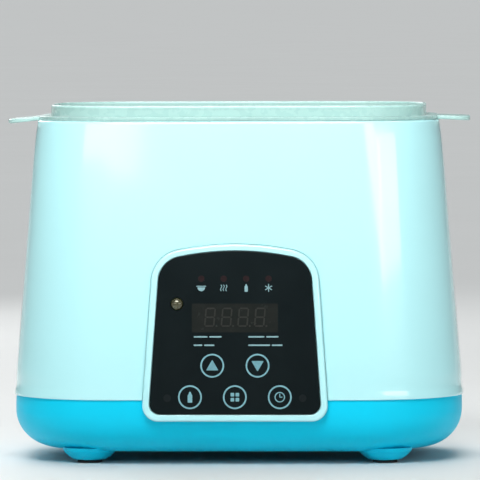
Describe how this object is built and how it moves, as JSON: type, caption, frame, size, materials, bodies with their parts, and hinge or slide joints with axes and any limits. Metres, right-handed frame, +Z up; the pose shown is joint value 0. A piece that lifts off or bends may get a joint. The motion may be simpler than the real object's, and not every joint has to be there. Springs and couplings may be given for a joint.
{
  "type": "bottle sterilizer",
  "caption": "Counter-top baby bottle steriliser and warmer with a lift-out two-bottle basket, heated water tank and touch panel.",
  "frame": {"origin": "on the floor under the middle of the object's box", "axes": "+Z up, -Y towards the front with the touch panel, +X to the right seen from the front, along the longest side"},
  "size_m": [0.2353, 0.1556, 0.1795],
  "materials": {
    "white_shell": "glossy moulded shell, cool white",
    "blue_base": "glossy moulded cyan blue",
    "clear_basket": "translucent, milky, faintly green",
    "black_panel": "high gloss black with printed marks",
    "white_tank": "satin white",
    "rubber": "black, matt",
    "silicone": "pale grey, satin",
    "heater_metal": "machined, satin",
    "steel": "zinc-plated, satin",
    "brass": "plain, satin",
    "circuit_board": "green solder mask",
    "black_part": "black, satin",
    "white_part": "off-white, satin",
    "blue_part": "blue film and varnish",
    "lamp": "tinted, clear and glossy",
    "red_led": "tinted red, unlit",
    "wire_red": "silicone sleeve",
    "wire_grey": "soft grey jacket"
  },
  "bodies": {
    "appliance": {"base_pan": "blue_base", "base_screw_front_left": "steel", "base_screw_front_right": "steel", "base_screw_rear_left": "steel", "base_screw_rear_right": "steel", "board_screw_high_left": "steel", "board_screw_high_right": "steel", "board_screw_low_left": "steel", "board_screw_low_right": "steel", "board_transformer": "blue_part", "bulk_capacitor": "black_part", "buzzer": "black_part", "clamp_ring": "steel", "control_board": "circuit_board", "control_cable": "wire_grey", "control_header": "white_part", "control_socket": "white_part", "digit_display": "black_part", "film_capacitor": "blue_part", "foot_pad_front_left": "rubber", "foot_pad_front_right": "rubber", "foot_pad_rear_left": "rubber", "foot_pad_rear_right": "rubber", "heater_connector": "white_part", "heater_gasket": "silicone", "heater_lead_front": "wire_red", "heater_lead_rear": "wire_red", "heater_plate": "heater_metal", "heater_screw_1": "steel", "heater_screw_2": "steel", "heater_screw_3": "steel", "heater_screw_4": "steel", "heating_element": "heater_metal", "inlet_pin_left": "brass", "inlet_pin_right": "brass", "mains_connector": "white_part", "mains_inlet": "black_part", "mains_lead_left": "wire_grey", "mains_lead_right": "wire_grey", "night_lamp": "lamp", "panel_bezel": "white_shell", "power_board": "circuit_board", "power_relay": "black_part", "status_led_1": "red_led", "status_led_2": "red_led", "status_led_3": "red_led", "status_led_4": "red_led", "tank_seal": "silicone", "temperature_sensor": "steel", "thermal_fuse": "white_part", "thermostat": "black_part", "touch_pad_down": "black_part", "touch_pad_function": "black_part", "touch_pad_timer": "black_part", "touch_pad_up": "black_part", "touch_pad_warm": "black_part", "touch_panel": "black_panel", "upper_housing": "white_shell", "water_tank": "white_tank"},
    "basket": {"bottle_basket": "clear_basket"}
  },
  "joints": [
    {"name": "basket_lift", "type": "slide", "parent": "appliance", "child": "basket", "axis": [0, 0, 1], "range_m": [0, 0.12]}
  ]
}
